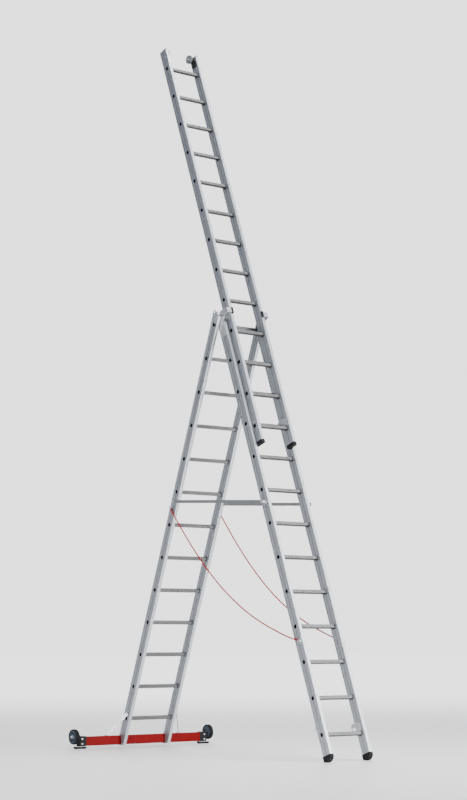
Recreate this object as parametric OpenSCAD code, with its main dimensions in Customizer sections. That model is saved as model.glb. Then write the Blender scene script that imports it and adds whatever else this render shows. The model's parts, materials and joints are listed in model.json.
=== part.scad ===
// Three-section combination ladder, stood as an A-frame with its top section drawn up.
// The base section is the rear leg, the middle section the front leg, and the top
// section slides on the front of the middle one. X runs from the rear leg to the front
// leg, Y along the rungs and Z up from the floor. Near is -Y and far is +Y.

/* [Sections] */
// Distance from rung to rung
pitch = 280; // [280]
// Rungs in each section
rung_count = 13; // [13]
// Lean of each leg from upright, in degrees
lean = 20.3; // [20.3]
// Outer width of the base section
base_w = 484; // [484]
// Outer width of the middle section
mid_w = 416; // [416]
// Outer width of the top section
top_w = 352; // [352]
// Depth of a stile, front to back
stile_d = 84; // [80:1:84]
// Thickness of a stile
stile_t = 28; // [26:1:28]
// Wall of a stile
stile_wall = 1.8; // [1.6:0.1:2.6]
// Side of a square rung
rung_size = 28; // [28]
// Wall of a rung
rung_wall = 1.2; // [1.2:0.1:2.5]
// Whole rung pitches by which the top section is drawn up
draw_up = 9; // [6:1:9]

/* [Stabiliser] */
// Length of the red bar
bar_len = 1186; // [1000:2:1200]
// Height of the red bar
bar_h = 75; // [75]
// Depth of the red bar
bar_d = 38; // [38]
// Height of the bar's underside over the floor
bar_z = 22; // [22]
// Radius of a transport wheel
wheel_r = 62.5; // [50:0.5:62.5]
// Width of a transport wheel
wheel_w = 32; // [24:1:34]

/* [Small parts] */
// Radius of a wall roller
roller_r = 37; // [30:1:37]
// Width of a wall roller
roller_w = 22; // [16:1:24]
// Height of a spreader bar
spreader_h = 25; // [22:1:30]
// Diameter of the safety ropes
rope_d = 12; // [8:1:12]

/* [Hidden] */
$fn = 48;

// The fold hinge: the legs turn about it, and it is half the folded offset from each
fold_offset = 60;
hinge_x = 21;
hinge_z = 3380;
base_hinge_s = 3361;
mid_hinge_s = 3406;
hinge_n = fold_offset / 2;
hinge_pin_r = 7;
hinge_bush_r = 8.9;
pin_play = 0.05;

// The slide: offset of the top section in front of the middle one, and its height on it
slide_offset = 60;
hook_drop = 41.5;
top_raise = draw_up * pitch - hook_drop;

half_d = stile_d / 2;
half_rung = rung_size / 2;
last_rung = (rung_count - 1) * pitch;
fit_gap = 0.05;
run_gap = 0.5;
base_head = last_rung + 80;
base_tail = 260;
floor_cut = 16;
mid_head = last_rung + 45;
mid_tail = 168;
top_head = 3538;
top_tail = 150;
foot_rim = 2;
cap_rim = 1.2;
plate_t = 3.5;
rivet_r = 5;
rivet_h = 1.3;
groove_half = 31;
groove_depth = 1.5;

// Positions on the two legs: n is forward of a section's middle plane, s along it
function base_x(n, s) = hinge_x + (n - hinge_n) * cos(lean) + (s - base_hinge_s) * sin(lean);
function base_z(n, s) = hinge_z - (n - hinge_n) * sin(lean) + (s - base_hinge_s) * cos(lean);
function mid_x(n, s) = hinge_x + (n + hinge_n) * cos(lean) - (s - mid_hinge_s) * sin(lean);
function mid_z(n, s) = hinge_z + (n + hinge_n) * sin(lean) + (s - mid_hinge_s) * cos(lean);

// The stabiliser bar, in a notch at the back of the base stiles
bar_front = base_x(0, -190) - 7;
bar_x = bar_front - bar_d / 2;
end_in = bar_len / 2 - 4;
end_out = 655;
end_wall = 4;
wheel_x = bar_x - 5;
wheel_z = 97;
wheel_y = 676;
axle_r = 6;
axle_end = 720;
pad_in = 582;
pad_out = 690;
pad_h = 17;
foot_plate_t = 3;
lug_r = 17;
lug_t = 14;

// The struts, from the base stiles down to the top of the bar
strut_n = 20;
strut_s = 58;
strut_w = 25;
strut_t = 4;
strut_foot_y = 366;
strut_x = base_x(strut_n, strut_s);
strut_z = base_z(strut_n, strut_s);
strut_y = base_w / 2 + strut_t / 2;
strut_run = [bar_x - strut_x, strut_foot_y - strut_y, bar_z + bar_h + strut_t / 2 - strut_z];

// The spreader bars: a pivot on the base stile and an open slot over a stud on the middle
spreader_n = -7;
spreader_s = 1875;
stud_n = 8;
stud_s = 1853;
stud_r = 6;
pivot_r = 5;
spreader_t = 4;
spreader_y = base_w / 2 + 2.5;
spreader_a = [base_x(spreader_n, spreader_s), base_z(spreader_n, spreader_s)];
spreader_b = [mid_x(stud_n, stud_s), mid_z(stud_n, stud_s)];
spreader_v = spreader_b - spreader_a;
spreader_len = norm(spreader_v);
spreader_angle = atan2(spreader_v[1], spreader_v[0]);
// The bar lifts by its angle to the base stile while the legs close by twice the lean
lift_ratio = (90 - lean - spreader_angle) / (2 * lean);
stud_arm = [spreader_b[0] - hinge_x, spreader_b[1] - hinge_z];
slot_way = [stud_arm[1] + lift_ratio * spreader_v[1], -stud_arm[0] - lift_ratio * spreader_v[0]];
slot_angle = atan2(slot_way[1], slot_way[0]) - spreader_angle;

// Rope route from the base leg down to the middle leg, as x and z, then y at its two ends
rope_route = [[-560, 1945], [-500, 1870], [-435, 1795], [-355, 1705], [-285, 1630],
    [-195, 1540], [-115, 1465], [-30, 1390], [55, 1320], [150, 1250], [240, 1190],
    [330, 1135], [420, 1085], [515, 1040], [620, 995], [715, 960], [815, 925], [900, 900],
    [990, 880]];
rope_y_base = base_w / 2 + 9;
rope_y_mid = mid_w / 2 + 11;
rope_steps = 4;
rope_sides = 8;
ferrule_r = 8.5;
ferrule_len = 18;

roller_s = 3535;
roller_n = -20;
roller_y = 112;
roller_axle_r = 5;
bead_t = 1.5;
bead_size = rung_size + 8;
hook_t = 4;
lip_in = 150;
pad_s = 3455;
pad_len = 52;

// Frames of the three sections, with the origin at the middle of the lowest rung
module base_frame() {
    translate([hinge_x, 0, hinge_z]) rotate([0, lean, 0])
        translate([-hinge_n, 0, -base_hinge_s]) children();
}
module mid_frame() {
    translate([hinge_x, 0, hinge_z]) rotate([0, -lean, 0])
        translate([hinge_n, 0, -mid_hinge_s]) children();
}
module top_frame() {
    mid_frame() translate([slide_offset, 0, top_raise]) children();
}
// Everything is drawn for the far side, and the near side is its mirror image
module on_side(side) {
    mirror([0, side < 0 ? 1 : 0, 0]) children();
}
module both_sides() {
    for (side = [-1, 1]) on_side(side) children();
}

// A flat plate of the outline that its children give as forward and along, between two y
module side_plate(y_in, y_out) {
    translate([0, y_out, 0]) rotate([90, 0, 0]) linear_extrude(y_out - y_in) children();
}
// A round pin along Y
module cross_pin(n, s, y_in, y_out, r) {
    translate([n, y_out, s]) rotate([90, 0, 0]) cylinder(h = y_out - y_in, r = r);
}
// A rivet or bolt head that stands on a face
module head(n, s, y_face, r, h) {
    translate([n, y_face, s]) rotate([-90, 0, 0]) cylinder(h = h, r1 = r, r2 = r * 0.75);
}

// Extruded stile: a box section whose outer face has a long shallow band
module stile_section(width) {
    y_out = width / 2;
    y_in = y_out - stile_t;
    edge = 2;
    difference() {
        polygon([[-half_d + edge, y_in], [half_d - edge, y_in], [half_d, y_in + edge],
            [half_d, y_out - edge], [half_d - edge, y_out], [groove_half, y_out],
            [groove_half - groove_depth, y_out - groove_depth],
            [-groove_half + groove_depth, y_out - groove_depth], [-groove_half, y_out],
            [-half_d + edge, y_out], [-half_d, y_out - edge], [-half_d, y_in + edge]]);
        translate([-half_d + stile_wall, y_in + stile_wall])
            square([stile_d - 2 * stile_wall, stile_t - 2 * stile_wall - groove_depth]);
    }
}
module stile(width, tail, top_end) {
    hole = rung_size + 2 * fit_gap;
    difference() {
        translate([0, 0, -tail]) linear_extrude(tail + top_end) stile_section(width);
        for (i = [0 : rung_count - 1])
            translate([-hole / 2, width / 2 - stile_t - 1, i * pitch - hole / 2])
                cube([hole, stile_t + 2, hole]);
    }
}

// Square rung tube: three grooves along its tread and its front, open ends in the stiles
module rung_section() {
    groove = 0.6;
    chamfer = 3;
    spots = [-7, 0, 7];
    difference() {
        polygon([[-half_rung + chamfer, -half_rung], [half_rung - chamfer, -half_rung],
            [half_rung, -half_rung + chamfer], [half_rung, half_rung - chamfer],
            [half_rung - chamfer, half_rung], [-half_rung + chamfer, half_rung],
            [-half_rung, half_rung - chamfer], [-half_rung, -half_rung + chamfer]]);
        for (p = spots) {
            translate([p - groove, half_rung - groove]) square([2 * groove, 2 * groove]);
            translate([half_rung - groove, p - groove]) square([2 * groove, 2 * groove]);
        }
        square(rung_size - 2 * rung_wall - 2 * groove, center = true);
    }
}
module rung(width) {
    length = width - 2 * groove_depth;
    bead_y = width / 2 - stile_t - bead_t;
    translate([0, length / 2, 0]) rotate([90, 0, 0]) linear_extrude(length) rung_section();
    both_sides() side_plate(bead_y, bead_y + bead_t) difference() {
        square(bead_size, center = true);
        square(rung_size - 1, center = true);
    }
}
module rung_set(width) {
    for (i = [0 : rung_count - 1]) translate([0, 0, i * pitch]) rung(width);
}

// Hook plate inside a section's lowest rung, reaching back over a rung of the next one
module hook_outline(seat, front) {
    behind = fold_offset + half_rung + run_gap;
    before = fold_offset - half_rung - run_gap;
    lip = 7;
    polygon([[-36, 20], [front, 20], [front, seat + 20], [-18, seat + 32],
        [-behind + 4, seat + 28], [-behind - lip, seat + 16], [-behind - lip, seat - 16],
        [-behind, seat - 20], [-behind, seat], [-before, seat], [-before, seat - 6],
        [-36, seat - 14]]);
}

// ---- Base section -------------------------------------------------------------------
module base_stile(side) {
    color("lightsteelblue") difference() {
        base_frame() on_side(side) difference() {
            stile(base_w, base_tail, base_head);
            cross_pin(hinge_n, base_hinge_s, base_w / 2 - stile_t - 1, base_w / 2 + 1,
                hinge_bush_r + fit_gap);
        }
        translate([bar_front - 200, -base_w, bar_z - fit_gap])
            cube([200 + fit_gap, 2 * base_w, bar_h + 2 * fit_gap]);
        translate([bar_front - 200, -base_w, floor_cut - 200])
            cube([400, 2 * base_w, 200]);
    }
}
module base_stile_near() { base_stile(-1); }
module base_stile_far() { base_stile(1); }
module base_rungs() {
    color("gainsboro") base_frame() rung_set(base_w);
}
// Plugs that close the tops of the base stiles
module base_top_caps() {
    color("dimgray") base_frame() both_sides()
        translate([-half_d, base_w / 2 - stile_t, base_head]) {
            cube([stile_d, stile_t, 4]);
            translate([stile_wall + fit_gap, stile_wall + fit_gap, -14])
                cube([stile_d - 2 * stile_wall - 2 * fit_gap,
                    stile_t - 2 * stile_wall - 2 * fit_gap - groove_depth, 14]);
        }
}
// Flanged bushes in the base stiles, on which the legs fold
module hinge_bushes() {
    y_in = base_w / 2 - stile_t;
    y_out = base_w / 2 + plate_t + 1.5;
    color("darkgray") base_frame() both_sides() difference() {
        union() {
            cross_pin(hinge_n, base_hinge_s, y_in, y_out, hinge_bush_r);
            cross_pin(hinge_n, base_hinge_s, base_w / 2 + plate_t, y_out, 11.5);
        }
        cross_pin(hinge_n, base_hinge_s, y_in - 1, y_out + 1, hinge_pin_r + pin_play);
    }
}
// Steel plates on the outer faces, carrying the lifting eye over each stile's end
module base_hinge_plates() {
    eye_n = -20;
    eye_s = base_head + 19;
    color("silver") base_frame() both_sides() {
        side_plate(base_w / 2, base_w / 2 + plate_t) difference() {
            union() {
                polygon([[-36, 3385], [8, 3385], [16, 3346], [24, 3338], [40, 3338],
                    [42, 3342], [42, 3420], [20, eye_s + 4], [eye_n, eye_s + 10],
                    [-36, eye_s]]);
                translate([eye_n, eye_s]) circle(17);
                translate([18, eye_s]) circle(13);
            }
            translate([eye_n, eye_s]) circle(10);
            translate([18, eye_s]) circle(6);
            translate([hinge_n, base_hinge_s]) circle(hinge_bush_r + fit_gap);
        }
        for (p = [[-26, 3396], [-26, 3428], [14, 3410]])
            head(p[0], p[1], base_w / 2 + plate_t, rivet_r, rivet_h + 1);
    }
}

// ---- Stabiliser ---------------------------------------------------------------------
module stabiliser_bar() {
    wall = 2.5;
    color("firebrick") translate([bar_x - bar_d / 2, -bar_len / 2, bar_z]) difference() {
        cube([bar_d, bar_len, bar_h]);
        translate([wall, -1, wall]) cube([bar_d - 2 * wall, bar_len + 2, bar_h - 2 * wall]);
    }
}
// Bolts that hold the bar in the stiles' notches, with their heads on the bar's back
module bar_bolts() {
    color("silver") both_sides() for (z = [bar_z + 20, bar_z + bar_h - 20])
        translate([bar_x - bar_d / 2 - 5, base_w / 2 - stile_t / 2, z]) rotate([0, 90, 0])
            cylinder(h = 5, r = 8, $fn = 6);
}
// Fitting over each end of the bar, with a lug for the wheel's axle
module bar_end(side) {
    color("black") on_side(side) difference() {
        union() {
            translate([bar_x - bar_d / 2 - end_wall, end_in, bar_z - 2])
                cube([bar_d + 2 * end_wall, end_out - end_in, bar_h + 2 + end_wall]);
            side_plate(end_out - lug_t, end_out) hull() {
                translate([wheel_x, wheel_z]) circle(lug_r);
                translate([wheel_x - lug_r, bar_z]) square([2 * lug_r + 6, 10]);
            }
        }
        translate([bar_x - bar_d / 2 - fit_gap, end_in - 1, bar_z - fit_gap])
            cube([bar_d + 2 * fit_gap, bar_len / 2 + 1 - end_in, bar_h + 2 * fit_gap]);
        cross_pin(wheel_x, wheel_z, end_out - lug_t - 1, end_out + 1, axle_r + fit_gap);
        // Open recess for the axle's inner head
        translate([wheel_x - 10, end_out - lug_t - 7, wheel_z - 10])
            cube([20, 7 + fit_gap, 40]);
    }
}
module bar_end_near() { bar_end(-1); }
module bar_end_far() { bar_end(1); }
module bar_end_bolts() {
    color("silver") both_sides() for (z = [bar_z + 18, bar_z + bar_h - 18])
        translate([bar_x + bar_d / 2 + end_wall, 632, z]) rotate([0, 90, 0])
            cylinder(h = 5, r = 7, $fn = 6);
}
// Galvanised plate between each end fitting and its rubber pad
module foot_plates() {
    color("gainsboro") both_sides()
        translate([bar_x - bar_d / 2 - 2, pad_in, pad_h])
            cube([bar_d + 4, pad_out - pad_in, foot_plate_t]);
}
// Rubber pad with bevelled ends and a flat sole
module foot_pad(side) {
    bevel = 10;
    color("black") on_side(side)
        translate([bar_x - bar_d / 2 - 3, 0, 0]) rotate([90, 0, 90])
            linear_extrude(bar_d + 6) polygon([[pad_in + bevel, 0], [pad_out - bevel, 0],
                [pad_out, pad_h], [pad_in, pad_h]]);
}
module foot_pad_near() { foot_pad(-1); }
module foot_pad_far() { foot_pad(1); }

// ---- Transport wheels ---------------------------------------------------------------
module wheel_axles() {
    color("silver") both_sides() {
        cross_pin(wheel_x, wheel_z, end_out - lug_t - 6, axle_end - 5, axle_r);
        cross_pin(wheel_x, wheel_z, axle_end - 7, axle_end, 10);
        cross_pin(wheel_x, wheel_z, end_out - lug_t - 6, end_out - lug_t, 9);
    }
}
function disc_outline(r_in, r_out, width, crown) =
    [[r_in, 0], [r_out - crown, 0], [r_out, crown], [r_out, width - crown],
        [r_out - crown, width], [r_in, width]];
// A turned body about an axle along Y
module turned(n, s, y_in) {
    translate([n, y_in, s]) rotate([-90, 0, 0]) rotate_extrude($fn = 72) children();
}
module wheel_tyre(side) {
    color("black") on_side(side) turned(wheel_x, wheel_z, wheel_y)
        polygon(disc_outline(wheel_r - 12, wheel_r, wheel_w, 6));
}
module wheel_tyre_near() { wheel_tyre(-1); }
module wheel_tyre_far() { wheel_tyre(1); }
module wheel_hub(side) {
    boss = 15;
    rim = wheel_r - 12 - fit_gap;
    color("slategray") on_side(side) turned(wheel_x, wheel_z, wheel_y) polygon([
        [axle_r + pin_play, -4], [boss, -4], [boss, 8], [rim - 8, 8], [rim - 8, 2], [rim, 2],
        [rim, wheel_w - 2], [rim - 8, wheel_w - 2], [rim - 8, 18], [boss, 18],
        [boss, wheel_w + 3], [axle_r + pin_play, wheel_w + 3]]);
}
module wheel_hub_near() { wheel_hub(-1); }
module wheel_hub_far() { wheel_hub(1); }

// ---- Struts -------------------------------------------------------------------------
// Flat diagonal with a tab on the stile's outer face and a tab on the bar
module struts() {
    color("gainsboro") both_sides() {
        translate([strut_x, strut_y + 6, strut_z])
            rotate([0, acos(strut_run[2] / norm(strut_run)), atan2(strut_run[1], strut_run[0])])
                translate([-strut_w / 2, -strut_t / 2, 10])
                    cube([strut_w, strut_t, norm(strut_run) - 22]);
        translate([strut_x - strut_w / 2, base_w / 2, strut_z - 16])
            cube([strut_w, strut_t, 36]);
        translate([bar_x - bar_d / 2 + 4, strut_foot_y - 14, bar_z + bar_h])
            cube([bar_d - 8, 36, strut_t]);
    }
}
module strut_bolts() {
    color("silver") both_sides() {
        translate([strut_x, base_w / 2 + strut_t, strut_z + 10]) rotate([-90, 0, 0])
            cylinder(h = 4, r = 7, $fn = 6);
        translate([bar_x, strut_foot_y + 12, bar_z + bar_h + strut_t])
            cylinder(h = 4, r = 7, $fn = 6);
    }
}

// ---- Spreader bars ------------------------------------------------------------------
module spreader_pivots() {
    color("silver") both_sides() {
        cross_pin(spreader_a[0], spreader_a[1], base_w / 2 - 1, spreader_y - 0.5, 11);
        cross_pin(spreader_a[0], spreader_a[1], base_w / 2 - 1, spreader_y + 8, pivot_r);
        cross_pin(spreader_a[0], spreader_a[1], spreader_y + spreader_t + 0.5,
            spreader_y + 9, 10);
    }
}
module spreader_bar(side) {
    tip = 16;
    color("lightgray") on_side(side) translate([spreader_a[0], 0, spreader_a[1]])
        rotate([0, -spreader_angle, 0])
            side_plate(spreader_y, spreader_y + spreader_t) difference() {
                union() {
                    circle(spreader_h / 2 + 1);
                    translate([0, -spreader_h / 2])
                        square([spreader_len + tip, spreader_h]);
                }
                circle(pivot_r + pin_play);
                translate([spreader_len, 0]) {
                    circle(stud_r + run_gap);
                    rotate(slot_angle) translate([0, -stud_r - run_gap])
                        square([60, 2 * (stud_r + run_gap)]);
                }
            }
}
module spreader_bar_near() { spreader_bar(-1); }
module spreader_bar_far() { spreader_bar(1); }

// ---- Middle section -----------------------------------------------------------------
module middle_stile(side) {
    color("lightsteelblue") mid_frame() on_side(side) stile(mid_w, mid_tail, mid_head);
}
module middle_stile_near() { middle_stile(-1); }
module middle_stile_far() { middle_stile(1); }
module middle_rungs() {
    color("gainsboro") mid_frame() rung_set(mid_w);
}
// Rubber shoe with a rounded sole that has a flat where it meets the floor
module middle_foot(side) {
    sole_n = -6;
    sole_s = -150;
    sole_r = 54.5;
    rim_s = -154;
    y_in = mid_w / 2 - stile_t - foot_rim;
    y_out = mid_w / 2 + foot_rim;
    color("black") difference() {
        mid_frame() on_side(side) difference() {
            intersection() {
                cross_pin(sole_n, sole_s, y_in, y_out, sole_r);
                translate([-half_d - foot_rim, y_in, sole_s - 80])
                    cube([stile_d + 2 * foot_rim, stile_t + 2 * foot_rim, rim_s + 80 - sole_s]);
            }
            translate([-half_d - fit_gap, y_in + foot_rim - fit_gap, -mid_tail])
                cube([stile_d + 2 * fit_gap, stile_t + 2 * fit_gap, 60]);
        }
        translate([mid_x(0, 0) - 200, -mid_w, -100]) cube([400, 2 * mid_w, 100]);
    }
}
module middle_foot_near() { middle_foot(-1); }
module middle_foot_far() { middle_foot(1); }
// Hooks that hold the middle section on a rung of the base one
module middle_rung_hooks() {
    y_out = mid_w / 2 - stile_t;
    seat = mid_hinge_s - base_hinge_s + half_rung + run_gap;
    color("silver") mid_frame() both_sides()
        side_plate(y_out - hook_t, y_out) hook_outline(seat, 13);
}
module middle_rivets() {
    color("gainsboro") mid_frame() both_sides() {
        for (s = [34, 72]) head(-8, s, mid_w / 2 - groove_depth, rivet_r, rivet_h);
        for (n = [-20, 20]) head(n, -120, mid_w / 2 - groove_depth, rivet_r, rivet_h);
    }
}
// Steel plate that holds the hinge pin and reaches round the front of the top section
module guide_plate(side) {
    y_in = mid_w / 2;
    lip_n = slide_offset + half_d + 6.5;
    color("silver") mid_frame() on_side(side) {
        difference() {
            side_plate(y_in, y_in + plate_t) union() {
                translate([-hinge_n, mid_hinge_s]) circle(15);
                polygon([[-38, 3296], [38, 3296], [38, 3440], [lip_n, 3456],
                    [lip_n + plate_t, 3460], [lip_n + plate_t, 3502], [lip_n - 6, 3508],
                    [22, 3508], [-8, 3468], [-26, 3440], [-26, 3416], [-44.5, 3404],
                    [-42, 3380]]);
            }
            cross_pin(-hinge_n, mid_hinge_s, y_in - 1, y_in + plate_t + 1,
                hinge_pin_r + fit_gap);
        }
        translate([lip_n, lip_in, 3460]) cube([plate_t, y_in + 1 - lip_in, 42]);
    }
}
module guide_plate_near() { guide_plate(-1); }
module guide_plate_far() { guide_plate(1); }
module guide_rivets() {
    color("gainsboro") mid_frame() both_sides()
        for (p = [[-24, 3312], [24, 3312], [24, 3352], [-24, 3352], [24, 3392]])
            head(p[0], p[1], mid_w / 2 + plate_t, rivet_r, rivet_h);
}
// Headed pin, fast in the guide plate and turning in the base stile's bush
module hinge_pin(side) {
    y_head = base_w / 2 + plate_t + 1.8;
    color("dimgray") mid_frame() on_side(side) {
        cross_pin(-hinge_n, mid_hinge_s, mid_w / 2, y_head + 2, hinge_pin_r);
        cross_pin(-hinge_n, mid_hinge_s, y_head, y_head + 6, 12);
    }
}
module hinge_pin_near() { hinge_pin(-1); }
module hinge_pin_far() { hinge_pin(1); }
// Plastic slide pad that clips round the guide plate's lip
module guide_pad(side) {
    lip_n = slide_offset + half_d + 6.5;
    color("black") mid_frame() on_side(side) difference() {
        translate([slide_offset + half_d + run_gap, lip_in - 3, pad_s])
            cube([11, 20, pad_len]);
        translate([lip_n - fit_gap, lip_in - fit_gap, 3460 - fit_gap])
            cube([plate_t + 2 * fit_gap, 60, 42 + 2 * fit_gap]);
    }
}
module guide_pad_near() { guide_pad(-1); }
module guide_pad_far() { guide_pad(1); }
// Plastic blocks on the ends of the middle stiles, beside the sliding section
module middle_top_caps() {
    color("dimgray") mid_frame() both_sides()
        translate([-26, mid_w / 2 - stile_t, mid_head]) {
            cube([half_d + 26, stile_t, 34]);
            translate([0, stile_wall + fit_gap, -14])
                cube([26 + half_d - stile_wall - fit_gap,
                    stile_t - 2 * stile_wall - 2 * fit_gap - groove_depth, 15]);
        }
}
module spreader_studs() {
    color("silver") mid_frame() both_sides() {
        side_plate(mid_w / 2, mid_w / 2 + 4)
            translate([stud_n, stud_s]) square([40, 40], center = true);
        cross_pin(stud_n, stud_s, mid_w / 2, spreader_y - 0.5, 10);
        cross_pin(stud_n, stud_s, mid_w / 2, spreader_y + 8, stud_r);
        cross_pin(stud_n, stud_s, spreader_y + spreader_t + 0.5, spreader_y + 9, 10);
    }
}

// ---- Safety ropes -------------------------------------------------------------------
function rope_share(p) = (p[0] - rope_route[0][0]) / (rope_route[len(rope_route) - 1][0]
    - rope_route[0][0]);
function rope_point(p) = [p[0], rope_y_base + (rope_y_mid - rope_y_base) * rope_share(p), p[1]];
// Catmull-Rom point between route points i and i + 1
function route_at(i) = rope_route[min(max(i, 0), len(rope_route) - 1)];
function blend_at(i, t) = let (a = route_at(i - 1), b = route_at(i), c = route_at(i + 1),
    d = route_at(i + 2)) 0.5 * (2 * b + (c - a) * t + (2 * a - 5 * b + 4 * c - d) * t * t
    + (3 * b - a - 3 * c + d) * t * t * t);
function rope_line() = [for (i = [0 : len(rope_route) - 2], k = [0 : rope_steps - 1])
    rope_point(blend_at(i, k / rope_steps)), rope_point(rope_route[len(rope_route) - 1])];
function unit(v) = v / norm(v);
function ring(p, way) = let (side_way = unit(cross(way, [0, 1, 0])), up = cross(side_way, way))
    [for (k = [0 : rope_sides - 1]) p + rope_d / 2 * (cos(k * 360 / rope_sides) * side_way
        + sin(k * 360 / rope_sides) * up)];
module tube(line) {
    n = len(line);
    rings = [for (i = [0 : n - 1])
        ring(line[i], unit(line[min(i + 1, n - 1)] - line[max(i - 1, 0)]))];
    points = [for (r = rings) each r];
    walls = [for (i = [0 : n - 2], k = [0 : rope_sides - 1]) let (a = i * rope_sides,
        next = (k + 1) % rope_sides) [a + k, a + next, a + rope_sides + next,
        a + rope_sides + k]];
    ends = [[for (k = [rope_sides - 1 : -1 : 0]) k],
        [for (k = [0 : rope_sides - 1]) (n - 1) * rope_sides + k]];
    polyhedron(points, concat(walls, ends));
}
module rope(side) {
    color("crimson") on_side(side) tube(rope_line());
}
module rope_near() { rope(-1); }
module rope_far() { rope(1); }
// A ferrule that takes a rope's end: from p, away from the rope
module ferrule(p, way) {
    translate(p + fit_gap * way) rotate([0, acos(way[2]), atan2(way[1], way[0])])
        cylinder(h = ferrule_len, r = ferrule_r);
}
module rope_anchors_base() {
    line = rope_line();
    color("silver") both_sides() {
        ferrule(line[0], unit(line[0] - line[1]));
        base_frame() side_plate(base_w / 2, base_w / 2 + 2)
            translate([-22, 1818]) square([26, 40], center = true);
    }
}
module rope_anchors_middle() {
    line = rope_line();
    n = len(line);
    color("silver") both_sides() {
        ferrule(line[n - 1], unit(line[n - 1] - line[n - 2]));
        mid_frame() side_plate(mid_w / 2, mid_w / 2 + 4)
            translate([18, 718]) square([30, 40], center = true);
    }
}

// ---- Top section --------------------------------------------------------------------
module top_stile(side) {
    color("lightsteelblue") top_frame() on_side(side) stile(top_w, top_tail, top_head);
}
module top_stile_near() { top_stile(-1); }
module top_stile_far() { top_stile(1); }
module top_rungs() {
    color("gainsboro") top_frame() rung_set(top_w);
}
// Plastic shoes on the lower ends of the top section
module top_feet() {
    y_in = top_w / 2 - stile_t - cap_rim;
    color("black") top_frame() both_sides() difference() {
        translate([-half_d - cap_rim, y_in, -162])
            cube([stile_d + 2 * cap_rim, stile_t + 2 * cap_rim, 30]);
        translate([-half_d - fit_gap, y_in + cap_rim - fit_gap, -top_tail])
            cube([stile_d + 2 * fit_gap, stile_t + 2 * fit_gap, 60]);
    }
}
module top_end_caps() {
    color("dimgray") top_frame() both_sides()
        translate([-half_d, top_w / 2 - stile_t, top_head]) {
            cube([stile_d, stile_t, 5]);
            translate([stile_wall + fit_gap, stile_wall + fit_gap, -12])
                cube([stile_d - 2 * stile_wall - 2 * fit_gap,
                    stile_t - 2 * stile_wall - 2 * fit_gap - groove_depth, 13]);
        }
}
// Hooks that rest on a rung of the middle section
module top_rung_hooks() {
    y_out = top_w / 2 - stile_t;
    color("silver") top_frame() both_sides() side_plate(y_out - hook_t, y_out)
        hook_outline(hook_drop + half_rung + run_gap, 30);
}
module top_rivets() {
    color("gainsboro") top_frame() both_sides() {
        for (s = [34, 72]) head(-8, s, top_w / 2 - groove_depth, rivet_r, rivet_h);
        for (s = [3458, 3480]) head(12, s, top_w / 2 - groove_depth, rivet_r, rivet_h);
    }
}
// Plates inside the stiles' upper ends, with an eye for each roller's axle
module roller_brackets() {
    y_out = top_w / 2 - stile_t;
    color("dimgray") top_frame() both_sides() difference() {
        side_plate(y_out - hook_t, y_out) polygon([[-36, 3446], [24, 3446], [24, 3490],
            [4, roller_s + 8], [roller_n, roller_s + 14], [-36, roller_s]]);
        cross_pin(roller_n, roller_s, y_out - hook_t - 1, y_out + 1,
            roller_axle_r + fit_gap);
    }
}
module roller_axles() {
    y_out = top_w / 2 - stile_t;
    color("silver") top_frame() both_sides() {
        cross_pin(roller_n, roller_s, roller_y - 7, y_out, roller_axle_r);
        cross_pin(roller_n, roller_s, roller_y - 9, roller_y - 3, 9);
    }
}
module roller_tyre(side) {
    color("dimgray") top_frame() on_side(side) turned(roller_n, roller_s, roller_y)
        polygon(disc_outline(roller_r - 6, roller_r, roller_w, 4));
}
module roller_tyre_near() { roller_tyre(-1); }
module roller_tyre_far() { roller_tyre(1); }
module roller_hub(side) {
    rim = roller_r - 6 - fit_gap;
    color("whitesmoke") top_frame() on_side(side) turned(roller_n, roller_s, roller_y)
        polygon([[roller_axle_r + pin_play, -2], [11, -2], [11, 6], [rim - 5, 6],
            [rim - 5, 1], [rim, 1], [rim, roller_w - 1], [rim - 5, roller_w - 1],
            [rim - 5, 16], [11, 16], [11, roller_w + 2],
            [roller_axle_r + pin_play, roller_w + 2]]);
}
module roller_hub_near() { roller_hub(-1); }
module roller_hub_far() { roller_hub(1); }

base_stile_near();
base_stile_far();
base_rungs();
base_top_caps();
hinge_bushes();
base_hinge_plates();
stabiliser_bar();
bar_bolts();
bar_end_near();
bar_end_far();
bar_end_bolts();
foot_plates();
foot_pad_near();
foot_pad_far();
wheel_axles();
wheel_tyre_near();
wheel_tyre_far();
wheel_hub_near();
wheel_hub_far();
struts();
strut_bolts();
spreader_pivots();
rope_anchors_base();
spreader_bar_near();
spreader_bar_far();
middle_stile_near();
middle_stile_far();
middle_rungs();
middle_foot_near();
middle_foot_far();
middle_rung_hooks();
middle_rivets();
guide_plate_near();
guide_plate_far();
guide_rivets();
hinge_pin_near();
hinge_pin_far();
guide_pad_near();
guide_pad_far();
middle_top_caps();
spreader_studs();
rope_anchors_middle();
rope_near();
rope_far();
top_stile_near();
top_stile_far();
top_rungs();
top_feet();
top_end_caps();
top_rung_hooks();
top_rivets();
roller_brackets();
roller_axles();
roller_tyre_near();
roller_tyre_far();
roller_hub_near();
roller_hub_far();
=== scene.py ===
"""Looks for the combination ladder: camera, studio, ropes, detailed pieces and materials.

Places come from the joints' positions, from the section frames below, which are worked
out from the fold hinge, and from the rope route of part.scad.
"""
import json
import math

import bmesh
import bpy
from mathutils import Matrix, Vector


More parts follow.
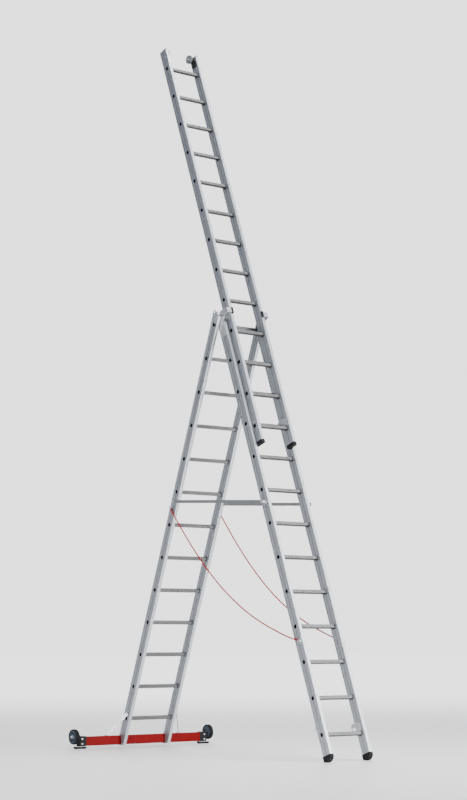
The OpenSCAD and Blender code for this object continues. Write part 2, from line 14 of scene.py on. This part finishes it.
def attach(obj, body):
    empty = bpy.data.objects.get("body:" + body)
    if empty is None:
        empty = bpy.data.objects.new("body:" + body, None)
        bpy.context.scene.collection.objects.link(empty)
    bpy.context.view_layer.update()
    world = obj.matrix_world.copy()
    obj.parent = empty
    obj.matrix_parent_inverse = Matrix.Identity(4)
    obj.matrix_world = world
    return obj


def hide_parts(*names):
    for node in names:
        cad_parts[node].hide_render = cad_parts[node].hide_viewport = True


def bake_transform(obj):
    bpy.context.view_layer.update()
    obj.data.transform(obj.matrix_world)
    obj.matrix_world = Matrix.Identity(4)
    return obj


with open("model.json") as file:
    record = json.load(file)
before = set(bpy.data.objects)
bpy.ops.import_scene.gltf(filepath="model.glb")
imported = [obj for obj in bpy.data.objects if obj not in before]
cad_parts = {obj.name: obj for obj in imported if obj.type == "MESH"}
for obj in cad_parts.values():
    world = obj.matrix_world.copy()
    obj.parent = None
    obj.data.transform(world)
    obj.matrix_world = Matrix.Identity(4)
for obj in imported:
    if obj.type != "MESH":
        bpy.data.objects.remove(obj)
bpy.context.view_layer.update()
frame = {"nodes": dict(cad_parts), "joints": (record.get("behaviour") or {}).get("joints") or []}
JOINTS = {joint["name"]: joint for joint in frame["joints"]}
SIDES = {"near": -1, "far": 1}

# ---- Section frames ------------------------------------------------------------------
# Each section has a local frame: x is n, forward of its middle plane, y is along the
# rungs and z is s, along the stiles from the middle of the lowest rung.
LEAN = math.radians(20.3)
HINGE = Vector(JOINTS["fold"]["pos_m"])
PITCH = 0.280
# Where the fold hinge is in the legs' frames
HINGE_N = 0.030
HINGE_S = {"base": 3.361, "middle": 3.406}
# The top section's place on the middle one: its hooks leave it a little below nine pitches
TOP_OFFSET = 0.060
HOOK_DROP = 0.0415
TOP_RAISE = 9 * PITCH - HOOK_DROP


def section_frame(name):
    """Matrix from a section's local frame to the row frame."""
    if name == "top":
        return section_frame("middle") @ Matrix.Translation((TOP_OFFSET, 0, TOP_RAISE))
    side = -1 if name == "base" else 1
    turn = Matrix.Rotation(-side * LEAN, 4, "Y")
    start = Matrix.Translation((side * HINGE_N, 0, -HINGE_S[name]))
    return Matrix.Translation(HINGE) @ turn @ start


PLACE = {name: section_frame(name) for name in ("base", "middle", "top")}


# ---- Camera and studio ---------------------------------------------------------------
def make_camera():
    data = bpy.data.cameras.new("Camera")
    data.lens = 84.6
    data.sensor_width = 36.0
    data.clip_end = 100.0
    camera = bpy.data.objects.new("Camera", data)
    camera.location = (11.683, -9.430, 0.900)
    camera.rotation_euler = (math.radians(90 + 7.208), 0.0, math.radians(51.22))
    bpy.context.collection.objects.link(camera)
    bpy.context.scene.camera = camera


def area_light(name, place, aim, size, power, spread):
    data = bpy.data.lights.new(name, "AREA")
    data.shape = "RECTANGLE"
    data.size, data.size_y = size
    data.energy = power
    data.spread = math.radians(spread)
    light = bpy.data.objects.new(name, data)
    light.location = place
    light.rotation_euler = (Vector(aim) - Vector(place)).to_track_quat("-Z", "Y").to_euler()
    bpy.context.collection.objects.link(light)


# The way from the camera to the backdrop, and how bright the studio's parts are
BACKDROP_WAY = (-0.776, 0.624, 0.087)
ROOM_LIGHT = 0.44
ROOM_TINT = (0.90, 0.95, 1.06)
WALL_LIGHT = 2.4
# How bright the lamps alone make the far floor, which its own light makes up to the wall's
FLOOR_LIT = 0.72
# Where the wall fades in, as the cosine of the angle from its middle, and the floor, in metres
WALL_FADE = (0.62, 0.93)
FLOOR_FADE = (1.0, 16.0)


def make_world():
    """A dim studio with one bright backdrop wall behind the ladder."""
    world = bpy.data.worlds.new("Studio")
    world.use_nodes = True
    tree = world.node_tree
    background = tree.nodes["Background"]
    coordinates = tree.nodes.new("ShaderNodeTexCoord")
    dot = tree.nodes.new("ShaderNodeVectorMath")
    dot.operation = "DOT_PRODUCT"
    dot.inputs[1].default_value = BACKDROP_WAY
    tree.links.new(coordinates.outputs["Generated"], dot.inputs[0])
    fade = tree.nodes.new("ShaderNodeMapRange")
    fade.interpolation_type = "SMOOTHSTEP"
    fade.inputs["From Min"].default_value = WALL_FADE[0]
    fade.inputs["From Max"].default_value = WALL_FADE[1]
    tree.links.new(dot.outputs["Value"], fade.inputs["Value"])
    mix = tree.nodes.new("ShaderNodeMix")
    mix.data_type = "RGBA"
    mix.clamp_result = False
    mix.inputs[6].default_value = (*(ROOM_LIGHT * c for c in ROOM_TINT), 1.0)
    mix.inputs[7].default_value = (WALL_LIGHT, WALL_LIGHT, WALL_LIGHT, 1.0)
    tree.links.new(fade.outputs["Result"], mix.inputs[0])
    tree.links.new(mix.outputs[2], background.inputs["Color"])
    bpy.context.scene.world = world


def make_studio():
    """Three softboxes and a pale floor whose painted glow brightens it towards the backdrop."""
    make_world()
    area_light("front_softbox", (8.5, 2.6, 4.2), (-0.2, 0, 2.7), (4, 6), 1050, 120)
    area_light("top_softbox", (1.5, 0.5, 9.5), (-0.2, 0, 2.0), (4, 4), 260, 100)
    area_light("side_softbox", (3.5, -8.0, 1.2), (0.4, 0, 0.7), (4, 2), 170, 80)
    bpy.ops.mesh.primitive_plane_add(size=2000, location=(0, 0, -0.0005))
    floor = bpy.context.object
    floor.name = "studio_floor"
    material = bpy.data.materials.new("studio_floor")
    material.use_nodes = True
    tree = material.node_tree
    shader = tree.nodes["Principled BSDF"]
    shader.inputs["Base Color"].default_value = (0.72, 0.72, 0.72, 1.0)
    shader.inputs["Roughness"].default_value = 0.45
    shader.inputs["Emission Color"].default_value = (1.0, 1.0, 1.0, 1.0)
    coordinates = tree.nodes.new("ShaderNodeTexCoord")
    dot = tree.nodes.new("ShaderNodeVectorMath")
    dot.operation = "DOT_PRODUCT"
    dot.inputs[1].default_value = (BACKDROP_WAY[0], BACKDROP_WAY[1], 0.0)
    tree.links.new(coordinates.outputs["Object"], dot.inputs[0])
    # Painted glow: the floor's emission fades in towards the backdrop
    fade = tree.nodes.new("ShaderNodeMapRange")
    fade.interpolation_type = "SMOOTHSTEP"
    fade.inputs["From Min"].default_value = FLOOR_FADE[0]
    fade.inputs["From Max"].default_value = FLOOR_FADE[1]
    fade.inputs["To Max"].default_value = WALL_LIGHT - FLOOR_LIT
    tree.links.new(dot.outputs["Value"], fade.inputs["Value"])
    tree.links.new(fade.outputs["Result"], shader.inputs["Emission Strength"])
    floor.data.materials.append(material)


make_camera()
make_studio()


# ---- Material tools ------------------------------------------------------------------
class Paint:
    """A node material under construction: short calls that add and link nodes."""

    def __init__(self, name, place=None):
        self.material = bpy.data.materials.new(name)
        self.material.use_nodes = True
        self.tree = self.material.node_tree
        self.shader = self.tree.nodes["Principled BSDF"]
        coordinates = self.tree.nodes.new("ShaderNodeTexCoord")
        self.base = coordinates.outputs["Object"]
        if place is not None:
            local = place.inverted()
            mapping = self.tree.nodes.new("ShaderNodeMapping")
            mapping.inputs["Rotation"].default_value = local.to_euler()
            mapping.inputs["Location"].default_value = local.to_translation()
            self.tree.links.new(self.base, mapping.inputs["Vector"])
            self.base = mapping.outputs["Vector"]

    def set(self, **values):
        for key, value in values.items():
            name = key.replace("_", " ")
            self.shader.inputs[name].default_value = value
        return self

    def link(self, output, target):
        socket = self.shader.inputs[target] if isinstance(target, str) else target
        self.tree.links.new(output, socket)

    def stretched(self, scale):
        node = self.tree.nodes.new("ShaderNodeMapping")
        node.inputs["Scale"].default_value = scale
        self.tree.links.new(self.base, node.inputs["Vector"])
        return node.outputs["Vector"]

    def noise(self, scale, detail=3.0, roughness=0.5, stretch=None):
        node = self.tree.nodes.new("ShaderNodeTexNoise")
        node.inputs["Scale"].default_value = scale
        node.inputs["Detail"].default_value = detail
        node.inputs["Roughness"].default_value = roughness
        vector = self.base if stretch is None else self.stretched(stretch)
        self.tree.links.new(vector, node.inputs["Vector"])
        return node.outputs["Fac"]

    def cells(self, scale, output="Color"):
        node = self.tree.nodes.new("ShaderNodeTexVoronoi")
        node.inputs["Scale"].default_value = scale
        self.tree.links.new(self.base, node.inputs["Vector"])
        return node.outputs[output]

    def axis(self, name):
        node = self.tree.nodes.new("ShaderNodeSeparateXYZ")
        self.tree.links.new(self.base, node.inputs["Vector"])
        return node.outputs[name]

    def math(self, operation, first, second=0.0, third=None):
        node = self.tree.nodes.new("ShaderNodeMath")
        node.operation = operation
        for socket, value in zip(node.inputs, (first, second, third)):
            if value is None:
                continue
            if isinstance(value, (int, float)):
                socket.default_value = value
            else:
                self.tree.links.new(value, socket)
        return node.outputs["Value"]

    def ramp(self, factor, stops):
        node = self.tree.nodes.new("ShaderNodeValToRGB")
        elements = node.color_ramp.elements
        while len(elements) < len(stops):
            elements.new(0.5)
        for element, (position, colour) in zip(elements, stops):
            if isinstance(colour, (int, float)):
                colour = (colour, colour, colour)
            element.position = position
            element.color = (*colour, 1.0)
        self.tree.links.new(factor, node.inputs["Fac"])
        return node.outputs["Color"]

    def mix(self, factor, first, second, blend="MIX"):
        node = self.tree.nodes.new("ShaderNodeMix")
        node.data_type = "RGBA"
        node.blend_type = blend
        for index, value in ((0, factor), (6, first), (7, second)):
            socket = node.inputs[index]
            if isinstance(value, (int, float)):
                socket.default_value = value
            elif isinstance(value, tuple):
                socket.default_value = (*value, 1.0)
            else:
                self.tree.links.new(value, socket)
        return node.outputs[2]

    def bump(self, height, strength, distance=0.001):
        node = self.tree.nodes.new("ShaderNodeBump")
        node.inputs["Strength"].default_value = strength
        node.inputs["Distance"].default_value = distance
        self.tree.links.new(height, node.inputs["Height"])
        self.link(node.outputs["Normal"], "Normal")

    def rough(self, factor, low, high):
        self.link(self.ramp(factor, [(0.3, low), (0.7, high)]), "Roughness")


def scuffed(paint, colour, scuff, scale, low=0.62, high=0.70):
    """Mixes a scuff colour into a colour where a patchy noise is high."""
    patches = paint.math("MULTIPLY", paint.noise(scale, 6.0, 0.65), paint.noise(scale * 9, 2.0))
    mask = paint.ramp(patches, [(low * 0.55, 0.0), (high * 0.55, 1.0)])
    return paint.mix(mask, colour, scuff)


STILE_HALF_DEPTH = 0.042
RIB_PITCH = 0.0052
FLUTE_PITCH = 0.0022
# How far from a rung's middle line its tube's inside reaches, and where the painted shade on its
# underside starts
RUNG_INSIDE = 0.0128
RUNG_SHADED_UNDERSIDE = -0.0125
# Painted light and shade across a stile, from its middle line to its edges: a shaded flute, a lit
# land, a shaded joint line and lit edges
STILE_PAINTED_SHADING = [(0.0, 0.52), (0.16, 0.56), (0.24, 0.82), (0.66, 0.74), (0.72, 0.34),
    (0.77, 0.50), (0.82, 1.0), (1.0, 0.96)]


def extruded_aluminium(name, place, light, dark):
    """Mill-finish extrusion: die lines along the length, faint bands, handling marks, painted
    light and shade across the stile.
    """
    paint = Paint(name, place)
    lines = paint.noise(1.0, 4.0, 0.6, (900, 900, 1.2))
    broad = paint.noise(1.0, 2.0, 0.5, (60, 60, 0.6))
    colour = paint.ramp(lines, [(0.25, dark), (0.75, light)])
    tone = paint.ramp(broad, [(0.35, tuple(0.86 * c for c in light)), (0.65, light)])
    colour = paint.mix(0.45, colour, tone)
    marks = tuple(0.80 * c for c in dark)
    colour = scuffed(paint, colour, marks, 7.0)
    # Painted light and shade across the stile, also used as part of the bump height
    across = paint.math("DIVIDE", paint.math("ABSOLUTE", paint.axis("X")), STILE_HALF_DEPTH)
    painted_shading = paint.ramp(across, STILE_PAINTED_SHADING)
    colour = paint.mix(1.0, colour, painted_shading, "MULTIPLY")
    paint.link(colour, "Base Color")
    paint.rough(paint.noise(1.0, 3.0, 0.6, (220, 220, 4)), 0.34, 0.50)
    ribs = paint.math("SINE", paint.math("MULTIPLY", paint.axis("X"), 2 * math.pi / RIB_PITCH))
    height = paint.math("ADD", paint.math("MULTIPLY", ribs, 0.55), lines)
    height = paint.math("ADD", height, paint.math("MULTIPLY", painted_shading, 3.0))
    paint.bump(height, 0.30, 0.0004)
    return paint.set(Metallic=0.85).material


def rung_aluminium(name, place):
    """Fluted rung tube: flutes along Y, dull scuffs, and painted shade: dark underneath, darker
    inside.
    """
    paint = Paint(name, place)
    lines = paint.noise(1.0, 4.0, 0.6, (800, 2.0, 800))
    colour = paint.ramp(lines, [(0.25, (0.11, 0.112, 0.115)), (0.75, (0.17, 0.172, 0.176))])
    colour = scuffed(paint, colour, (0.09, 0.09, 0.09), 11.0)
    # Z wrapped about each rung's middle tells the underside and the inside from the rest, for
    # their painted shade
    wrapped = paint.math("WRAP", paint.axis("Z"), PITCH / 2, -PITCH / 2)
    reach = paint.math("MAXIMUM", paint.math("ABSOLUTE", paint.axis("X")),
        paint.math("ABSOLUTE", wrapped))
    # Painted shade: a dark grey on the rung's underside
    below = paint.math("LESS_THAN", wrapped, RUNG_SHADED_UNDERSIDE)
    colour = paint.mix(below, colour, (0.045, 0.045, 0.044))
    # Painted shade: near black inside the tube
    inside = paint.math("LESS_THAN", reach, RUNG_INSIDE)
    paint.link(paint.mix(inside, colour, (0.012, 0.012, 0.013)), "Base Color")
    paint.rough(paint.noise(40.0, 3.0), 0.32, 0.52)
    flutes, climb = (paint.math("SINE", paint.math("MULTIPLY", paint.axis(axis),
        2 * math.pi / FLUTE_PITCH)) for axis in "XZ")
    height = paint.math("ADD", paint.math("ADD", flutes, climb), lines)
    paint.bump(height, 0.35, 0.0004)
    return paint.set(Metallic=0.8).material


def galvanised(name, dark=(0.38, 0.39, 0.41), light=(0.62, 0.63, 0.65)):
    paint = Paint(name)
    spangle = paint.cells(130.0)
    colour = paint.mix(0.16, (0.70, 0.71, 0.73), spangle)
    grey = paint.ramp(colour, [(0.35, dark), (0.75, light)])
    colour = scuffed(paint, grey, tuple(0.75 * c for c in dark), 26.0)
    paint.link(colour, "Base Color")
    paint.rough(paint.cells(130.0, "Distance"), 0.28, 0.52)
    paint.bump(paint.noise(420.0, 3.0), 0.18, 0.0003)
    return paint.set(Metallic=0.9).material


def zinc(name):
    paint = Paint(name)
    cloud = paint.noise(160.0, 5.0, 0.6)
    paint.link(paint.ramp(cloud, [(0.3, (0.60, 0.60, 0.58)), (0.7, (0.84, 0.84, 0.85))]),
        "Base Color")
    paint.rough(paint.noise(300.0), 0.20, 0.42)
    paint.bump(paint.noise(900.0, 2.0), 0.15, 0.0002)
    return paint.set(Metallic=1.0).material


def powder_coat(name, colour, worn, rough=(0.30, 0.44)):
    """Stove-enamelled steel: orange peel, worn scuffs and darker patches."""
    paint = Paint(name)
    cloud = paint.noise(3.0, 4.0, 0.6)
    deep = tuple(0.78 * c for c in colour)
    base = paint.ramp(cloud, [(0.3, deep), (0.7, colour)])
    paint.link(scuffed(paint, base, worn, 16.0, 0.66, 0.72), "Base Color")
    paint.rough(paint.noise(25.0, 4.0), *rough)
    paint.bump(paint.noise(520.0, 2.0), 0.22, 0.0003)
    return paint.set(Specular_IOR_Level=0.10).material


def moulded(name, colour, rough=(0.42, 0.60), grain=900.0, strength=0.25):
    """Moulded plastic: fine spark-eroded grain and a faint mottle."""
    paint = Paint(name)
    cloud = paint.noise(22.0, 4.0, 0.6)
    pale = tuple(min(1.0, 1.35 * c + 0.002) for c in colour)
    paint.link(paint.ramp(cloud, [(0.3, colour), (0.75, pale)]), "Base Color")
    paint.rough(paint.noise(60.0, 3.0), *rough)
    paint.bump(paint.cells(grain, "Distance"), strength, 0.0002)
    return paint.set(Specular_IOR_Level=0.14).material


def rubber(name, colour=(0.006, 0.006, 0.0065), dust=(0.05, 0.048, 0.046)):
    """Rubber with a dusty bloom in patches and a matt pebbled skin."""
    paint = Paint(name)
    base = paint.ramp(paint.noise(30.0, 5.0, 0.6), [(0.35, colour), (0.8, (0.014, 0.014, 0.015))])
    paint.link(scuffed(paint, base, dust, 18.0, 0.60, 0.80), "Base Color")
    paint.rough(paint.noise(80.0, 3.0), 0.62, 0.85)
    paint.bump(paint.noise(700.0, 3.0), 0.35, 0.0003)
    return paint.set(Specular_IOR_Level=0.12).material


def strand(name, colour, dark):
    """One strand of laid rope, with a fine matt yarn."""
    paint = Paint(name)
    yarns = paint.noise(900.0, 3.0, 0.6)
    paint.link(paint.ramp(yarns, [(0.3, dark), (0.7, colour)]), "Base Color")
    paint.rough(paint.noise(300.0), 0.6, 0.85)
    paint.bump(yarns, 0.5, 0.0004)
    return paint.set(Specular_IOR_Level=0.12).material


STILE_LIGHT = (0.62, 0.645, 0.68)
STILE_DARK = (0.42, 0.445, 0.485)
STILE = {name: extruded_aluminium("stile_alu_" + name, PLACE[name], STILE_LIGHT, STILE_DARK)
    for name in PLACE}
RUNGS = {name: rung_aluminium("rung_alu_" + name, PLACE[name]) for name in PLACE}
STEEL = galvanised("galvanised_steel")
# A darker copy of the galvanised steel: painted shade on the spreader bars and struts
SHADED_BAR_STEEL = galvanised("spreader_steel_painted_shade", (0.20, 0.205, 0.215), (0.33, 0.335, 0.345))
ZINC = zinc("zinc_plate")
RED = powder_coat("red_powder_coat", (0.135, 0.0001, 0.001), (0.15, 0.003, 0.004))
DARK_STEEL = powder_coat("black_steel", (0.030, 0.031, 0.034), (0.16, 0.16, 0.16))
BLACK = moulded("black_plastic", (0.0045, 0.0045, 0.005), (0.50, 0.68))
GREY = moulded("grey_plastic", (0.085, 0.088, 0.095))
RUBBER = rubber("foot_rubber")
TYRE = rubber("tyre_rubber", (0.005, 0.005, 0.006), (0.04, 0.039, 0.038))
HUB = moulded("hub_plastic", (0.040, 0.052, 0.068), (0.26, 0.40), 600.0, 0.12)
HUB_LIGHT = moulded("hub_cap_plastic", (0.17, 0.19, 0.21), (0.26, 0.40), 600.0, 0.12)
ROLLER = moulded("roller_plastic", (0.30, 0.31, 0.33), (0.32, 0.46), 700.0, 0.12)
ROPE_RED = strand("rope_red", (0.36, 0.0002, 0.005), (0.20, 0.0, 0.003))
ROPE_DARK = strand("rope_dark", (0.19, 0.0, 0.003), (0.09, 0.0, 0.002))


# ---- CAD nodes that stay: materials and softened edges --------------------------------
def finish_node(name, material, bevel=0.0):
    node = frame["nodes"][name]
    node.data.materials.clear()
    node.data.materials.append(material)
    if bevel:
        modifier = node.modifiers.new("edge", "BEVEL")
        modifier.width = bevel
        modifier.segments = 2
        modifier.limit_method = "ANGLE"
        modifier.angle_limit = math.radians(40)
        modifier.harden_normals = True


def sides(*names):
    return [f"{name}_{side}" for name in names for side in SIDES]


FINISHES = [
    (STEEL, 0.0006, ["base_hinge_plates", "foot_plates", "spreader_studs",
        "rope_anchors_base", "rope_anchors_middle", "middle_rung_hooks", "top_rung_hooks",
        *sides("guide_plate")]),
    (SHADED_BAR_STEEL, 0.0006, ["struts", *sides("spreader_bar")]),
    (ZINC, 0.0, ["hinge_bushes", "wheel_axles", "spreader_pivots", "middle_rivets",
        "guide_rivets", "top_rivets", "roller_axles"]),
    (ZINC, 0.0006, ["bar_bolts", "bar_end_bolts", "strut_bolts"]),
    (DARK_STEEL, 0.0006, ["roller_brackets", *sides("hinge_pin")]),
    (RED, 0.0015, ["stabiliser_bar"]),
    (BLACK, 0.0012, ["top_feet", *sides("bar_end", "guide_pad")]),
    (GREY, 0.0010, ["base_top_caps", "middle_top_caps", "top_end_caps"]),
    (RUBBER, 0.0015, sides("foot_pad", "middle_foot")),
    (TYRE, 0.0, sides("wheel_tyre")),
    (GREY, 0.0, sides("roller_tyre")),
    (HUB, 0.0, sides("wheel_hub")),
    (ROLLER, 0.0, sides("roller_hub")),
]
for material, bevel, names in FINISHES:
    for name in names:
        finish_node(name, material, bevel)
for section in PLACE:
    finish_node(f"{section}_rungs", RUNGS[section], 0.0004)
    for name in sides(f"{section}_stile"):
        finish_node(name, STILE[section], 0.0007)


# ---- Wheels and rollers ----------------------------------------------------------------
def make_mesh(name, build, materials):
    """An object whose mesh is filled by build(bmesh)."""
    mesh = bpy.data.meshes.new(name)
    bm = bmesh.new()
    build(bm)
    bmesh.ops.recalc_face_normals(bm, faces=bm.faces)
    bm.to_mesh(mesh)
    bm.free()
    for polygon in mesh.polygons:
        polygon.use_smooth = True
    obj = bpy.data.objects.new(name, mesh)
    bpy.context.collection.objects.link(obj)
    for material in materials:
        mesh.materials.append(material)
    return obj


def lathe(bm, outline, centre, side, slot, steps=96):
    """Turns a closed outline of (radius, distance along the axle) about an axle along Y."""
    x, y, z = centre
    rings = []
    for i in range(steps):
        a = 2 * math.pi * i / steps
        rings.append([bm.verts.new((x + r * math.cos(a), side * (y + along),
            z + r * math.sin(a))) for r, along in outline])
    for i, ring in enumerate(rings):
        after = rings[(i + 1) % steps]
        for k in range(len(outline)):
            n = (k + 1) % len(outline)
            bm.faces.new((ring[k], ring[n], after[n], after[k])).material_index = slot


def slab(bm, centre, side, turn, radii, along, width, slot):
    """A radial rib: a bar from one radius to another, between two places on the axle."""
    x, y, z = centre
    corners = []
    for a in along:
        for r in radii:
            for w in (-width / 2, width / 2):
                corners.append(bm.verts.new((
                    x + r * math.cos(turn) - w * math.sin(turn), side * (y + a),
                    z + r * math.sin(turn) + w * math.cos(turn))))
    for face in ((0, 1, 3, 2), (4, 6, 7, 5), (0, 4, 5, 1), (2, 3, 7, 6), (0, 2, 6, 4),
            (1, 5, 7, 3)):
        bm.faces.new([corners[i] for i in face]).material_index = slot


def tyre_outline(r_in, r_out, width, grooves, depth):
    """A tyre with rounded shoulders and narrow grooves round its tread."""
    crown = 0.16 * width
    shoulder = [(r_out - crown + crown * math.sin(a), crown - crown * math.cos(a))
        for a in (math.radians(d) for d in (0, 22, 45, 68, 90))]
    tread = []
    for g in grooves:
        tread += [(r_out, g - 0.0014), (r_out - depth, g - 0.0008),
            (r_out - depth, g + 0.0008), (r_out, g + 0.0014)]
    far_shoulder = [(r, width - along) for r, along in reversed(shoulder)]
    return [(r_in, 0.0)] + shoulder + tread + far_shoulder + [(r_in, width)]


def turned_piece(name, node, body, materials, build):
    """A turned piece that stands for a CAD node and rides on its body."""
    piece = make_mesh(name, build, materials)
    piece.data.set_sharp_from_angle(angle=math.radians(32))
    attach(piece, body)
    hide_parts(node)


# How far the inner faces of the wheels and of the rollers are from the middle plane
WHEEL_INNER = 0.676
ROLLER_INNER = 0.112


def wheel_centre(joint, inner):
    """A wheel's middle, with y as the distance of its inner face from the middle plane."""
    x, _, z = JOINTS[joint]["pos_m"]
    return (x, inner, z)


def make_wheel(side_name):
    side = SIDES[side_name]
    body = f"wheel_{side_name}"
    centre = wheel_centre(f"{body}_spin", WHEEL_INNER)
    tyre = tyre_outline(r_in=0.0505, r_out=0.0625, width=0.032, grooves=(0.009, 0.016, 0.023),
        depth=0.0016)
    turned_piece(f"{body}_tread", f"wheel_tyre_{side_name}", body, [TYRE],
        lambda bm: lathe(bm, tyre, centre, side, 0))

    def hub(bm):
        lathe(bm, [(0.0065, -0.004), (0.013, -0.004), (0.015, -0.002), (0.015, 0.008),
            (0.024, 0.0085), (0.025, 0.0065), (0.027, 0.0065), (0.028, 0.0085),
            (0.0405, 0.009), (0.0425, 0.003), (0.0435, 0.002), (0.05045, 0.002),
            (0.05045, 0.030), (0.0435, 0.030), (0.0425, 0.029), (0.0405, 0.0175),
            (0.028, 0.018), (0.027, 0.0205), (0.025, 0.0205), (0.024, 0.018),
            (0.0165, 0.0185), (0.0155, 0.022), (0.0065, 0.022)], centre, side, 0)
        lathe(bm, [(0.0065, 0.0221), (0.0145, 0.0221), (0.0145, 0.033), (0.0125, 0.035),
            (0.0065, 0.035)], centre, side, 1)
        for i in range(8):
            slab(bm, centre, side, i * math.pi / 4, (0.0155, 0.0425), (0.0175, 0.0262),
                0.0028, 0)

    turned_piece(f"{body}_disc", f"wheel_hub_{side_name}", body,
        [HUB, HUB_LIGHT], hub)


def make_roller(side_name):
    side = SIDES[side_name]
    body = f"roller_{side_name}"
    centre = wheel_centre(f"{body}_spin", ROLLER_INNER)
    tyre = tyre_outline(r_in=0.031, r_out=0.037, width=0.022, grooves=(0.007, 0.011, 0.015),
        depth=0.0010)
    turned_piece(f"{body}_tread", f"roller_tyre_{side_name}", body, [GREY],
        lambda bm: lathe(bm, tyre, centre, side, 0))

    def hub(bm):
        lathe(bm, [(0.0055, -0.002), (0.010, -0.002), (0.011, -0.001), (0.011, 0.006),
            (0.0255, 0.0065), (0.0262, 0.002), (0.027, 0.001), (0.03095, 0.001),
            (0.03095, 0.021), (0.027, 0.021), (0.0262, 0.020), (0.0255, 0.0155),
            (0.011, 0.016), (0.011, 0.023), (0.010, 0.024), (0.0055, 0.024)],
            centre, side, 0)
        for i in range(6):
            slab(bm, centre, side, i * math.pi / 3, (0.0112, 0.0262), (0.0150, 0.0192),
                0.0022, 0)

    turned_piece(f"{body}_disc", f"roller_hub_{side_name}", body,
        [ROLLER], hub)


for side_name in SIDES:
    make_wheel(side_name)
    make_roller(side_name)


# ---- Ropes ---------------------------------------------------------------------------
# The route of part.scad, in metres: x and z, and y from the base leg to the middle leg
ROPE_ROUTE = [(-0.560, 1.945), (-0.500, 1.870), (-0.435, 1.795), (-0.355, 1.705),
    (-0.285, 1.630), (-0.195, 1.540), (-0.115, 1.465), (-0.030, 1.390), (0.055, 1.320),
    (0.150, 1.250), (0.240, 1.190), (0.330, 1.135), (0.420, 1.085), (0.515, 1.040),
    (0.620, 0.995), (0.715, 0.960), (0.815, 0.925), (0.900, 0.900), (0.990, 0.880)]
ROPE_Y = (0.251, 0.219)
ROPE_D = 0.012
STRAND_R = 0.0028
LAY_R = 0.5 * ROPE_D - STRAND_R - 0.0001
LAY_LENGTH = 0.064
STRAND_SIDES = 10


def smooth_route(side, step=0.003):
    """The route as close points on a Catmull-Rom curve."""
    first, last = ROPE_ROUTE[0][0], ROPE_ROUTE[-1][0]
    route = []
    for x, z in ROPE_ROUTE:
        share = (x - first) / (last - first)
        route.append(Vector((x, side * (ROPE_Y[0] + (ROPE_Y[1] - ROPE_Y[0]) * share), z)))
    points = []
    for i in range(len(route) - 1):
        a, b, c, d = (route[max(i - 1, 0)], route[i], route[i + 1],
            route[min(i + 2, len(route) - 1)])
        count = max(1, round((c - b).length / step))
        for k in range(count):
            t = k / count
            points.append(0.5 * (2 * b + (c - a) * t + (2 * a - 5 * b + 4 * c - d) * t * t
                + (3 * b - a - 3 * c + d) * t ** 3))
    return points + [route[-1]]


def square_to(way):
    """Two directions square to a way, the first as near to Y as it can be."""
    one = (Vector((0, 1, 0)) - way * way.y).normalized()
    return one, way.cross(one)


def way_at(line, i):
    return (line[min(i + 1, len(line) - 1)] - line[max(i - 1, 0)]).normalized()


def add_tube(bm, line, radius, sides_count, slot):
    """A closed tube along a line of points, its rings kept square to the line."""
    rings = []
    for i, point in enumerate(line):
        one, two = square_to(way_at(line, i))
        rings.append([bm.verts.new(point + radius * (math.cos(a) * one + math.sin(a) * two))
            for a in (2 * math.pi * k / sides_count for k in range(sides_count))])
    faces = []
    for low, high in zip(rings, rings[1:]):
        for k in range(sides_count):
            n = (k + 1) % sides_count
            faces.append(bm.faces.new((low[k], low[n], high[n], high[k])))
    faces.append(bm.faces.new(list(reversed(rings[0]))))
    faces.append(bm.faces.new(rings[-1]))
    for face in faces:
        face.material_index = slot


def make_rope(side_name):
    """Three strands laid round the route, which bend between the two legs."""
    side = SIDES[side_name]
    path = smooth_route(side)
    travelled = [0.0]
    for a, b in zip(path, path[1:]):
        travelled.append(travelled[-1] + (b - a).length)

    def build(bm):
        for index in range(3):
            line = []
            for i, point in enumerate(path):
                one, two = square_to(way_at(path, i))
                turn = 2 * math.pi * (travelled[i] / LAY_LENGTH + index / 3)
                line.append(point + LAY_R * (math.cos(turn) * one + math.sin(turn) * two))
            add_tube(bm, line, STRAND_R, STRAND_SIDES, 1 if index == 0 else 0)

    rope = make_mesh(f"rope_{side_name}_laid", build, [ROPE_RED, ROPE_DARK])
    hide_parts(f"rope_{side_name}")
    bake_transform(rope)


for side_name in SIDES:
    make_rope(side_name)
